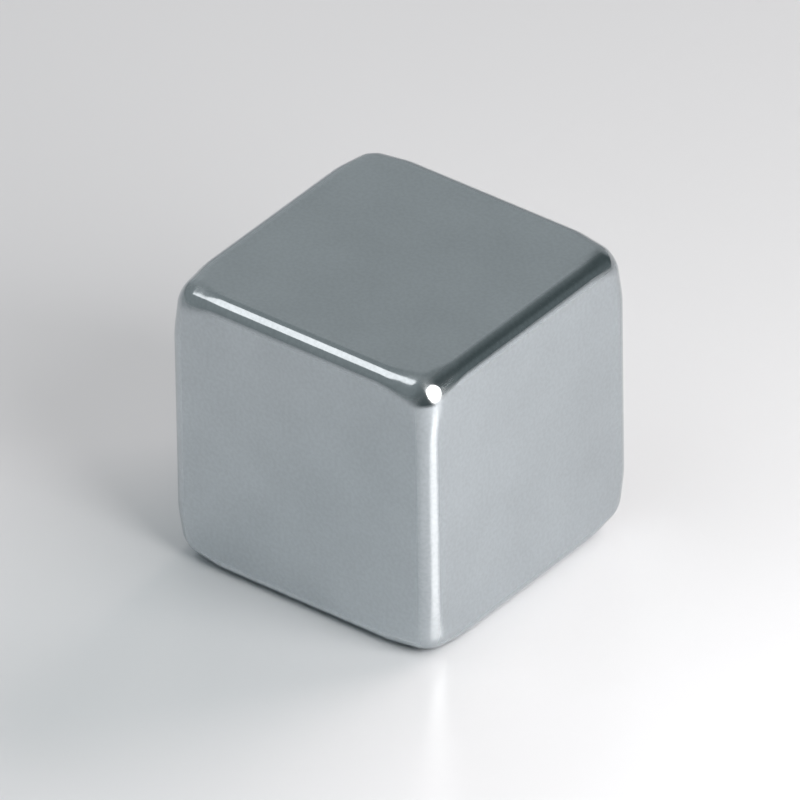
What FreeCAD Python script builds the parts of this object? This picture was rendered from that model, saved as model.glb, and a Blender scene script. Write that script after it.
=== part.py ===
# Block magnet: one cube of sintered magnet alloy, plated all over with bright nickel.
# The alloy powder is pressed and sintered into a block, and the block is sawn and ground to its
# six flat faces. It is then tumbled among ceramic chips, which round every edge, and round the
# eight corners that stand out the furthest a little more, and last it is plated.
# The block rests on its lower face at z = 0, centred on x = y = 0. Sizes are in millimetres.
import FreeCAD, Part
import os

Vector = FreeCAD.Vector
document = FreeCAD.newDocument("block_magnet")


# Sizes

sizes = document.addObject("Spreadsheet::Sheet", "Sizes")

SIZE_ROWS = [
    ("length", 10.0, "ground size along x"),
    ("width", 10.0, "ground size along y"),
    ("height", 10.0, "ground size along z, from pole face to pole face"),
    ("edge_radius", 0.55, "rounding along the middle of every edge"),
    ("corner_radius", 1.2, "what the rounding of an edge grows towards at its two corners"),
    ("corner_reach", 2.0, "how far from the sharp corner the rounding starts to grow"),
]

for row, (alias, value, meaning) in enumerate(SIZE_ROWS, start=1):
    sizes.set(f"A{row}", alias)
    sizes.set(f"B{row}", str(value))
    sizes.set(f"C{row}", meaning)
    sizes.setAlias(f"B{row}", alias)
document.recompute()

# The two growing ends take at most this share of an edge each, so a thin block keeps a plain run.
LARGEST_END_SHARE = 0.4


# Ground block

def add_ground_block():
    """The block as it comes from the grinder, with sharp edges and corners."""
    block = document.addObject("Part::Box", "ground_block")
    block.setExpression("Length", "Sizes.length")
    block.setExpression("Width", "Sizes.width")
    block.setExpression("Height", "Sizes.height")
    block.setExpression("Placement.Base.x", "-Sizes.length / 2")
    block.setExpression("Placement.Base.y", "-Sizes.width / 2")
    document.recompute()
    return block


# Marked block

def marked_side(corner, next_corner):
    """A corner, and the two marks on the edge between which its rounding keeps one radius."""
    edge_length = (next_corner - corner).Length
    reach = min(sizes.corner_reach, LARGEST_END_SHARE * edge_length)
    step = (next_corner - corner) * (reach / edge_length)
    return [corner, corner + step, next_corner - step]


def marked_face(face, middle):
    """The same face, drawn counter-clockwise as seen from outside, with marks on its four sides."""
    corners = [vertex.Point for vertex in face.OuterWire.OrderedVertexes]
    turn = (corners[1] - corners[0]).cross(corners[2] - corners[1])
    if turn.dot(face.CenterOfMass - middle) < 0:
        corners.reverse()
    outline = []
    for corner, next_corner in zip(corners, corners[1:] + corners[:1]):
        outline += marked_side(corner, next_corner)
    return Part.Face(Part.makePolygon(outline + outline[:1]))


def add_marked_block(ground_block):
    """The ground block with each edge in three pieces, so that each piece can have its own rounding."""
    faces = [marked_face(face, ground_block.Shape.CenterOfMass) for face in ground_block.Shape.Faces]
    shell = Part.makeShell(faces)
    shell.sewShape()
    block = document.addObject("Part::Feature", "marked_block")
    block.Shape = Part.makeSolid(shell)
    block.Placement = FreeCAD.Placement(Vector(0, 0, 0), FreeCAD.Rotation())
    return block


# Tumbled magnet

def radius_at(vertex, corners):
    """The rounding that the edges have at a sharp corner, or at a mark along one of them."""
    at_corner = any(vertex.Point.isEqual(corner, Part.Precision.confusion()) for corner in corners)
    return sizes.corner_radius if at_corner else sizes.edge_radius


def add_tumbled_block(marked_block, ground_block):
    """Every edge is rounded along its middle piece by one radius, which grows along the two end pieces.

    Where the three edges of a corner meet, their rounding closes in a small ball.
    """
    corners = [vertex.Point for vertex in ground_block.Shape.Vertexes]
    block = document.addObject("Part::Fillet", "magnet_block")
    block.Base = marked_block
    block.Edges = [
        (number, radius_at(edge.firstVertex(), corners), radius_at(edge.lastVertex(), corners))
        for number, edge in enumerate(marked_block.Shape.Edges, start=1)
    ]
    document.recompute()
    return block


# The magnet

ground_block = add_ground_block()
marked_block = add_marked_block(ground_block)
magnet = add_tumbled_block(marked_block, ground_block)
magnet.Label = "magnet_block"
magnet.Placement = FreeCAD.Placement(Vector(0, 0, 0), FreeCAD.Rotation())
sub_parts = [magnet]


# Tests of the model

CENTRE_TOLERANCE = 0.001

for item in document.Objects:
    if "Invalid" in item.State or "Error" in item.State:
        raise RuntimeError(f"{item.Name} has failed: {item.State}")

for sub_part in sub_parts:
    shape = sub_part.Shape
    if shape.isNull() or not shape.isValid() or len(shape.Solids) != 1:
        raise RuntimeError(f"{sub_part.Label} is not one sound solid")

worn_away = ground_block.Shape.Volume - magnet.Shape.Volume
if worn_away <= 0:
    raise RuntimeError("the rounding takes nothing off the block")

off_centre = magnet.Shape.Solids[0].CenterOfMass.distanceToPoint(ground_block.Shape.CenterOfMass)
if off_centre > CENTRE_TOLERANCE:
    raise RuntimeError("the corners are not all rounded alike")


# Files

os.makedirs("parts", exist_ok=True)
for sub_part in sub_parts:
    sub_part.Shape.exportStep(f"parts/{sub_part.Label}.step")
    box = sub_part.Shape.optimalBoundingBox()
    print(f"{sub_part.Label}: {box.XLength:.3f} x {box.YLength:.3f} x {box.ZLength:.3f} mm, "
          f"z from {box.ZMin:.3f}, {sub_part.Shape.Volume:.2f} mm3, {worn_away:.2f} mm3 worn away")
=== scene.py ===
import math

import bpy
from mathutils import Matrix, Vector


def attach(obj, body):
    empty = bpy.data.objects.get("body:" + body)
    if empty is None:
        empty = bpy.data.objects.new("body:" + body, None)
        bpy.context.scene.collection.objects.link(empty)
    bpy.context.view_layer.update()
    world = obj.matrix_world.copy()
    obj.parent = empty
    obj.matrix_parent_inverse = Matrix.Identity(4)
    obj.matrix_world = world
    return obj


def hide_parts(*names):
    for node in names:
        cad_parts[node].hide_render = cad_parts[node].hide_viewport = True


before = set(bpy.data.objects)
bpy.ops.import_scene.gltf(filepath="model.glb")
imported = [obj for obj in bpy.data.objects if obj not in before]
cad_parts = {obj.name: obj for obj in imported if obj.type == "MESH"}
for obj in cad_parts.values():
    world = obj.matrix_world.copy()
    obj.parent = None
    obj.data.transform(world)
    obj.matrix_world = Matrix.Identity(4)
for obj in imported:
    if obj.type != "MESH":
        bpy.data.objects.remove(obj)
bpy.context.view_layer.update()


# Magnet
# One block of sintered magnet alloy, ground flat on six sides and tumbled among ceramic chips,
# which rounds the edges evenly and the eight corners a little more. Bright nickel is plated over
# all of it: satin on the ground faces, and polished where the tumbling has rubbed the edges.

# The block is shaped in millimetres, round its own middle, and brought into place at the end.
MILLIMETRE = 0.001
SIDE = 10.0
HALF_SIDE = SIDE / 2
EDGE_RADIUS = 0.55
CORNER_RADIUS = 0.89
# The rounding grows towards each sharp corner between these two distances from it.
GROWTH_START = 2.0
GROWTH_END = 0.4
# An edge is rounded in so many steps, and cut across by so many rings at each of its ends.
ARC_STEPS = 16
RING_COUNT = 8
RING_GAP = 0.125
# What lies nearer together than this is in one place.
TOUCHING = 0.001


def growth_at(distance):
    """How much wider the rounding is than along the edges, at a distance from the sharp corner."""
    share = min(1.0, (GROWTH_START - distance) / (GROWTH_START - GROWTH_END))
    return 1 + (CORNER_RADIUS / EDGE_RADIUS - 1) * share * share * (3 - 2 * share)


def cut_across(axis, place, clear_below=False):
    """Cuts the whole mesh with a plane square to one axis."""
    point, direction = [0.0, 0.0, 0.0], [0.0, 0.0, 0.0]
    point[axis], direction[axis] = place, 1.0
    bpy.ops.mesh.select_all(action="SELECT")
    bpy.ops.mesh.bisect(plane_co=point, plane_no=direction, clear_inner=clear_below)


def enlarge(wanted, scale, centre):
    """Resizes the vertices whose place passes a test, about a centre."""
    bpy.ops.mesh.select_all(action="DESELECT")
    bpy.ops.object.mode_set(mode="OBJECT")
    for vertex in magnet.data.vertices:
        vertex.select = wanted(vertex.co)
    bpy.ops.object.mode_set(mode="EDIT")
    bpy.ops.transform.resize(value=scale, center_override=centre)


bpy.ops.object.select_all(action="DESELECT")
bpy.ops.mesh.primitive_cube_add(size=SIDE)
magnet = bpy.context.object
magnet.name = "magnet"
magnet.data.name = "magnet"

# All twelve edges are rounded by one radius, which leaves a small ball at each corner.
bpy.ops.object.mode_set(mode="EDIT")
bpy.ops.mesh.select_mode(type="VERT")
bpy.ops.mesh.select_all(action="SELECT")
bpy.ops.mesh.bevel(offset=EDGE_RADIUS, offset_type="OFFSET", segments=ARC_STEPS, profile=0.5,
                   affect="EDGES", clamp_overlap=False)

# One eighth of the block is kept, with one corner, and its edges are cut across where they grow.
ring_gaps = [GROWTH_START - RING_GAP * number for number in range(RING_COUNT)]
for axis in range(3):
    cut_across(axis, 0.0, clear_below=True)
for axis in range(3):
    for gap in ring_gaps:
        cut_across(axis, HALF_SIDE - gap)

# Each ring of the three edges is enlarged about the sharp edge that it goes round.
rounding_start = HALF_SIDE - EDGE_RADIUS - TOUCHING
for axis in range(3):
    others = [other for other in range(3) if other != axis]
    for gap in ring_gaps:
        scale, centre = [growth_at(gap)] * 3, [HALF_SIDE] * 3
        scale[axis], centre[axis] = 1.0, HALF_SIDE - gap
        enlarge(lambda place: abs(place[axis] - centre[axis]) < TOUCHING
                and all(place[other] > rounding_start for other in others), scale, centre)

# The ball is enlarged about the sharp corner, from its rim inwards, so that no layer is taken twice.
# Its growth goes by where a layer ends up, so it is worked out in rounds until it settles.
LAYER_DIGITS = 5
SAME_LAYER = TOUCHING / 20
GROWTH_ROUNDS = 20
bpy.ops.object.mode_set(mode="OBJECT")
layers = sorted({round(HALF_SIDE - min(vertex.co), LAYER_DIGITS) for vertex in magnet.data.vertices
                 if min(vertex.co) > rounding_start}, reverse=True)
bpy.ops.object.mode_set(mode="EDIT")
for layer in layers:
    growth = 1.0
    for _ in range(GROWTH_ROUNDS):
        growth = growth_at(layer * growth)
    enlarge(lambda place: abs(HALF_SIDE - min(place) - layer) < SAME_LAYER,
            [growth] * 3, [HALF_SIDE] * 3)

# The flat ground faces are marked strong, so that the rounding takes up their direction where it starts.
SQUARE_TO_AN_AXIS = 0.99999
bpy.ops.mesh.select_all(action="DESELECT")
bpy.ops.object.mode_set(mode="OBJECT")
for face in magnet.data.polygons:
    face.select = max(abs(part) for part in face.normal) > SQUARE_TO_AN_AXIS
bpy.ops.object.mode_set(mode="EDIT")
bpy.ops.mesh.select_mode(type="FACE")
bpy.ops.mesh.mod_weighted_strength(set=True, face_strength="STRONG")
bpy.ops.object.mode_set(mode="OBJECT")

# The eighth is mirrored three times into the whole block.
mirror = magnet.modifiers.new("other_seven_corners", "MIRROR")
mirror.use_axis = (True, True, True)
mirror.use_clip = True
mirror.merge_threshold = TOUCHING
bpy.ops.object.modifier_apply(modifier=mirror.name)
bpy.ops.object.mode_set(mode="EDIT")
bpy.ops.mesh.select_all(action="SELECT")
bpy.ops.mesh.remove_doubles(threshold=TOUCHING / 10)
bpy.ops.mesh.normals_make_consistent(inside=False)
bpy.ops.object.mode_set(mode="OBJECT")

magnet.scale = (MILLIMETRE,) * 3
magnet.location = (0.0, 0.0, HALF_SIDE * MILLIMETRE)
bpy.ops.object.transform_apply(location=True, rotation=True, scale=True)
bpy.ops.object.shade_smooth()
even_shading = magnet.modifiers.new("even_shading", "WEIGHTED_NORMAL")
even_shading.use_face_influence = True
even_shading.keep_sharp = False
bpy.ops.object.modifier_apply(modifier=even_shading.name)

# Nickel plating
NICKEL_COLOUR = (0.50, 0.54, 0.565)
nickel = bpy.data.materials.new("nickel_plating")
nickel.use_nodes = True
nodes, links = nickel.node_tree.nodes, nickel.node_tree.links
shader = nodes["Principled BSDF"]
shader.inputs["Metallic"].default_value = 1.0


def add_node(kind, settings=None, inputs=None):
    """A node with its settings, and its inputs linked from sockets or set to values."""
    made = nodes.new(kind)
    for name, value in (settings or {}).items():
        setattr(made, name, value)
    for name, value in (inputs or {}).items():
        socket = made.inputs[name] if isinstance(name, int) else next(
            each for each in made.inputs if each.name == name and each.enabled)
        if isinstance(value, bpy.types.NodeSocket):
            links.new(value, socket)
        else:
            socket.default_value = value
    return made


def result_of(made):
    """The output of a node that is in use: a Mix node has one of each kind."""
    return next(each for each in made.outputs if each.enabled)


def arithmetic(operation, first, second=0.0):
    """The result of one sum on two values or sockets."""
    return add_node("ShaderNodeMath", {"operation": operation}, {0: first, 1: second}).outputs[0]


def spread(value, from_low, from_high, to_low, to_high, ease="LINEAR"):
    """A value spread from one range onto another, held at both ends."""
    return add_node("ShaderNodeMapRange", {"interpolation_type": ease, "clamp": True}, {
        "Value": value, "From Min": from_low, "From Max": from_high,
        "To Min": to_low, "To Max": to_high}).outputs["Result"]


# Places on the block in millimetres from its middle.
object_place = add_node("ShaderNodeTexCoord").outputs["Object"]
place = add_node("ShaderNodeMapping", inputs={
    "Vector": object_place, "Scale": (1 / MILLIMETRE,) * 3,
    "Location": (0.0, 0.0, -HALF_SIDE)}).outputs["Vector"]

# How far a point is towards the nearest edge: the middle one of its distances from the centre planes.
parts = add_node("ShaderNodeSeparateXYZ", inputs={"Vector": place}).outputs
spans = [arithmetic("ABSOLUTE", part) for part in parts]
largest = arithmetic("MAXIMUM", arithmetic("MAXIMUM", spans[0], spans[1]), spans[2])
smallest = arithmetic("MINIMUM", arithmetic("MINIMUM", spans[0], spans[1]), spans[2])
total = arithmetic("ADD", arithmetic("ADD", spans[0], spans[1]), spans[2])
towards_edge = arithmetic("SUBTRACT", arithmetic("SUBTRACT", total, largest), smallest)

# The polish comes in between these two distances from the sharp edge.
POLISH_START = 0.62
POLISH_FULL = 0.27
polished = spread(towards_edge, HALF_SIDE - POLISH_START, HALF_SIDE - POLISH_FULL,
                  0.0, 1.0, "SMOOTHSTEP")

# The range that a noise hardly ever leaves, the narrower one that most of it is in, and its middle.
NOISE_RANGE = (0.3, 0.7)
NOISE_CORE = (0.35, 0.65)
NOISE_MIDDLE = 0.5


def noise(patches_to_a_millimetre, finer_layers):
    """A noise all through the block, each finer layer in it half as strong as the one before."""
    return add_node("ShaderNodeTexNoise", inputs={
        "Vector": place, "Scale": patches_to_a_millimetre, "Detail": finer_layers,
        "Roughness": 0.5}).outputs["Fac"]


# The satin of a ground and tumbled face: a fine even grain, with a few broader clouds in it.
grain = noise(patches_to_a_millimetre=8.0, finer_layers=1.0)
clouds = noise(patches_to_a_millimetre=0.55, finer_layers=3.0)
# The slow waves that the chips leave in the metal.
waves = noise(patches_to_a_millimetre=2.2, finer_layers=1.0)

# The tone goes this far darker and paler, and the grain and the clouds share the change.
TONE_CHANGE = 0.07
GRAIN_SHARE = 0.55
CLOUD_SHARE = 0.45
tone = arithmetic("ADD", spread(grain, *NOISE_CORE, -GRAIN_SHARE, GRAIN_SHARE),
                  spread(clouds, *NOISE_RANGE, -CLOUD_SHARE, CLOUD_SHARE))
colour = add_node("ShaderNodeMix", {"data_type": "RGBA"}, {
    "Factor": spread(tone, -1.0, 1.0, 0.0, 1.0),
    "A": tuple((1 - TONE_CHANGE) * part for part in NICKEL_COLOUR) + (1.0,),
    "B": tuple((1 + TONE_CHANGE) * part for part in NICKEL_COLOUR) + (1.0,)})
links.new(result_of(colour), shader.inputs["Base Color"])

SATIN_ROUGHNESS = 0.33
POLISHED_ROUGHNESS = 0.10
# What the grain adds to the satin's roughness or takes off it. It fades out just before the polish
# comes in, between these two distances from the sharp edge.
GRAIN_ROUGHNESS = 0.03
FADE_START = 0.95
FADE_END = 0.65
grain_left = spread(towards_edge, HALF_SIDE - FADE_START, HALF_SIDE - FADE_END, 1.0, 0.0)
satin = arithmetic("ADD", SATIN_ROUGHNESS, arithmetic(
    "MULTIPLY", grain_left, spread(grain, *NOISE_RANGE, -GRAIN_ROUGHNESS, GRAIN_ROUGHNESS)))
roughness = add_node("ShaderNodeMix", {"data_type": "FLOAT"}, {
    "Factor": polished, "A": satin, "B": POLISHED_ROUGHNESS})
links.new(result_of(roughness), shader.inputs["Roughness"])

# Depths in millimetres. The polish leaves a quarter of the grain.
WAVE_DEPTH = 0.0018
SATIN_GRAIN_DEPTH = 0.0008
POLISHED_GRAIN_DEPTH = 0.0002
grain_depth = spread(polished, 0.0, 1.0, SATIN_GRAIN_DEPTH, POLISHED_GRAIN_DEPTH)
height = arithmetic("ADD", arithmetic("MULTIPLY", waves, WAVE_DEPTH), arithmetic(
    "MULTIPLY", arithmetic("SUBTRACT", grain, NOISE_MIDDLE), grain_depth))
bump = add_node("ShaderNodeBump", inputs={"Height": height, "Distance": MILLIMETRE, "Strength": 1.0})
links.new(bump.outputs["Normal"], shader.inputs["Normal"])

magnet.data.materials.clear()
magnet.data.materials.append(nickel)
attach(magnet, "root")
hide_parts("magnet_block")


# Floor
# A plain sheet of pale semi-gloss acrylic, on which the magnet rests. It is cut wide enough to fill
# every view.
FLOOR_WIDTH = 4.0
FLOOR_COLOUR = (0.677, 0.714, 0.745, 1.0)
FLOOR_ROUGHNESS = 0.30
FLOOR_IOR = 2.0
bpy.ops.object.select_all(action="DESELECT")
bpy.ops.mesh.primitive_plane_add(size=FLOOR_WIDTH, location=(0.0, 0.0, 0.0))
floor = bpy.context.object
floor.name = "floor"
floor_finish = bpy.data.materials.new("pale_acrylic")
floor_finish.use_nodes = True
floor_shader = floor_finish.node_tree.nodes["Principled BSDF"]
floor_shader.inputs["Base Color"].default_value = FLOOR_COLOUR
floor_shader.inputs["Roughness"].default_value = FLOOR_ROUGHNESS
floor_shader.inputs["IOR"].default_value = FLOOR_IOR
floor.data.materials.append(floor_finish)


# Lamps
# Three soft boxes, each a frame of lamps behind white cloth, given by the direction that it shines
# from. Round them is a dim studio.
BLOCK_MIDDLE = Vector((0.0, 0.0, HALF_SIDE * MILLIMETRE))


def add_soft_box(name, shape, direction, distance, width, height, turn, brightness, tint):
    """A lamp that faces the magnet. Width, height and turn are in degrees, as the magnet sees them."""
    towards_lamp = Vector(direction).normalized()
    data = bpy.data.lights.new(name, "AREA")
    data.shape = shape
    data.color = tint
    data.size = 2 * distance * math.tan(math.radians(width / 2))
    data.size_y = 2 * distance * math.tan(math.radians(height / 2))
    filled = math.pi / 4 if shape == "ELLIPSE" else 1.0
    data.energy = brightness * math.pi * filled * data.size * data.size_y
    lamp = bpy.data.objects.new(name, data)
    lamp.location = BLOCK_MIDDLE + towards_lamp * distance
    lamp.rotation_mode = "QUATERNION"
    facing = towards_lamp.to_track_quat("Z", "Y")
    lamp.rotation_quaternion = facing @ Matrix.Rotation(math.radians(turn), 4, "Z").to_quaternion()
    lamp.visible_camera = False
    bpy.context.scene.collection.objects.link(lamp)
    return lamp


# An oval box close by on the right, which makes the spot on the front corner and lights the floor.
add_soft_box("key", "ELLIPSE", direction=(0.852, -0.092, 0.516), distance=0.06,
             width=42, height=53, turn=28, brightness=6.8, tint=(1.0, 0.935, 0.90))
# A square box high on the left, which makes the white line along the left edge of the upper face.
add_soft_box("top_left", "RECTANGLE", direction=(-0.475, -0.334, 0.814), distance=0.5,
             width=31.5, height=32, turn=26, brightness=1.30, tint=(1.0, 0.965, 0.955))
# A wide box behind, only to light the floor that the right face mirrors.
back = add_soft_box("back", "RECTANGLE", direction=(0.20, 0.85, 0.45), distance=0.5,
                    width=46, height=34, turn=0, brightness=6.3, tint=(1.0, 0.85, 0.80))
back.visible_glossy = False

# The studio itself: dim on the right, paler overhead and on the left, and palest low at the back left.
STUDIO_SHADE = (0.094, 0.116, 0.118, 1.0)
CEILING_GLOW = (0.214, 0.223, 0.226, 1.0)
WALL_GLOW = (0.245, 0.243, 0.246, 1.0)
SKIRTING_GLOW = (0.066, 0.072, 0.074, 1.0)
world = bpy.data.worlds.new("studio")
world.use_nodes = True
bpy.context.scene.world = world
nodes, links = world.node_tree.nodes, world.node_tree.links
sight = add_node("ShaderNodeTexCoord").outputs["Generated"]


def add_glow(under, glow, direction, faint, full):
    """Adds light round one direction of the studio, fading between two cosines of the angle from it."""
    nearness = add_node("ShaderNodeVectorMath", {"operation": "DOT_PRODUCT"}, {
        0: sight, 1: Vector(direction).normalized()}).outputs["Value"]
    return result_of(add_node("ShaderNodeMix", {"data_type": "RGBA", "blend_type": "ADD"}, {
        "Factor": spread(nearness, faint, full, 0.0, 1.0, "SMOOTHSTEP"), "A": under, "B": glow}))


studio = add_glow(STUDIO_SHADE, CEILING_GLOW, direction=(-0.65, -0.30, 0.70), faint=0.0, full=0.9)
studio = add_glow(studio, WALL_GLOW, direction=(-0.55, 0.80, 0.15), faint=0.74, full=0.90)
studio = add_glow(studio, SKIRTING_GLOW, direction=(0.80, 0.60, 0.05), faint=0.80, full=0.97)
links.new(studio, nodes["Background"].inputs["Color"])
nodes["Background"].inputs["Strength"].default_value = 1.0


# Camera
# It looks down on the front corner, from far off with a long lens, as the photograph does, and
# stands at the same angle. Angles are in degrees and lengths in metres.
CAMERA_AZIMUTH = 38.2
CAMERA_ELEVATION = 34.3
CAMERA_ROLL = -0.93
CAMERA_DISTANCE = 0.70
# The width of the frame at the magnet.
FRAME_WIDTH = 0.0243
SENSOR_WIDTH_MM = 36.0
NEAREST_SEEN = 0.01
FARTHEST_SEEN = 10.0

azimuth, elevation = math.radians(CAMERA_AZIMUTH), math.radians(CAMERA_ELEVATION)
towards_camera = Vector((math.sin(azimuth) * math.cos(elevation),
                         -math.cos(azimuth) * math.cos(elevation), math.sin(elevation)))
camera_data = bpy.data.cameras.new("camera")
camera_data.sensor_width = SENSOR_WIDTH_MM
camera_data.lens = SENSOR_WIDTH_MM * CAMERA_DISTANCE / FRAME_WIDTH
camera_data.clip_start = NEAREST_SEEN
camera_data.clip_end = FARTHEST_SEEN
camera = bpy.data.objects.new("camera", camera_data)
camera.location = BLOCK_MIDDLE + towards_camera * CAMERA_DISTANCE
camera.rotation_mode = "QUATERNION"
level = (-towards_camera).to_track_quat("-Z", "Y")
camera.rotation_quaternion = level @ Matrix.Rotation(math.radians(CAMERA_ROLL), 4, "Z").to_quaternion()
bpy.context.scene.collection.objects.link(camera)
bpy.context.scene.camera = camera
bpy.context.scene.view_settings.view_transform = "Standard"
